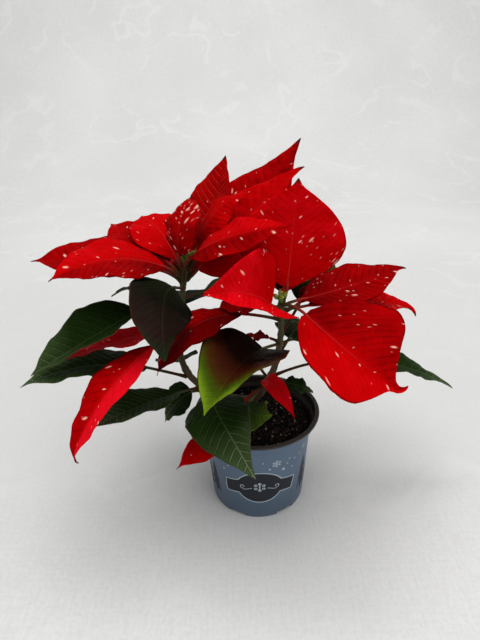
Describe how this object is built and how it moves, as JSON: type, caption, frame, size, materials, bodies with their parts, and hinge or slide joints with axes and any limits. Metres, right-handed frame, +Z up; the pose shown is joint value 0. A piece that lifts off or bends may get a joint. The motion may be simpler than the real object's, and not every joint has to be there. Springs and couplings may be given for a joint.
{
  "type": "potted poinsettia",
  "caption": "Poinsettia with speckled red bracts and dark green leaves on branching stems, standing in a round plastic pot filled with soil.",
  "frame": {"origin": "middle of the pot's flat underside, on the surface it stands on", "axes": "+Z up through the pot; +X to the right and +Y away, with the plant's fuller side facing -Y"},
  "size_m": [0.3463, 0.2027, 0.2924],
  "materials": {
    "pot": "satin blue-grey plastic with a pale printed pattern",
    "soil": "dark crumbly peat with pale grains",
    "stem": "smooth grey-green bark",
    "bract": "satin red, speckled white and pink",
    "leaf": "satin dark green with paler veins",
    "cyathia": "satin yellow-green"
  },
  "bodies": {
    "root": {"pot": "pot", "soil": "soil", "stem": "stem", "cyathia_a": "cyathia", "cyathia_b": "cyathia", "bract_a1": "bract", "bract_a2": "bract", "bract_a3": "bract", "bract_a4": "bract", "bract_a5": "bract", "bract_a6": "bract", "bract_a7": "bract", "bract_a8": "bract", "bract_a9": "bract", "bract_a10": "bract", "bract_a11": "bract", "bract_a12": "bract", "bract_b1": "bract", "bract_b2": "bract", "bract_b3": "bract", "bract_b4": "bract", "bract_b5": "bract", "bract_b6": "bract", "bract_b7": "bract", "bract_b8": "bract", "bract_b9": "bract", "bract_r1": "bract", "bract_r2": "bract", "bract_r3": "bract", "bract_r4": "bract", "bract_r5": "bract", "bract_r6": "bract", "leaf_1": "leaf", "leaf_2": "leaf", "leaf_3": "leaf", "leaf_4": "leaf", "leaf_5": "leaf", "leaf_6": "leaf", "leaf_7": "leaf", "leaf_8": "leaf", "leaf_9": "leaf", "leaf_10": "leaf", "leaf_11": "leaf", "leaf_12": "leaf", "leaf_13": "leaf", "leaf_14": "leaf", "leaf_15": "leaf", "leaf_16": "leaf", "leaf_17": "leaf", "leaf_18": "leaf"}
  },
  "joints": []
}
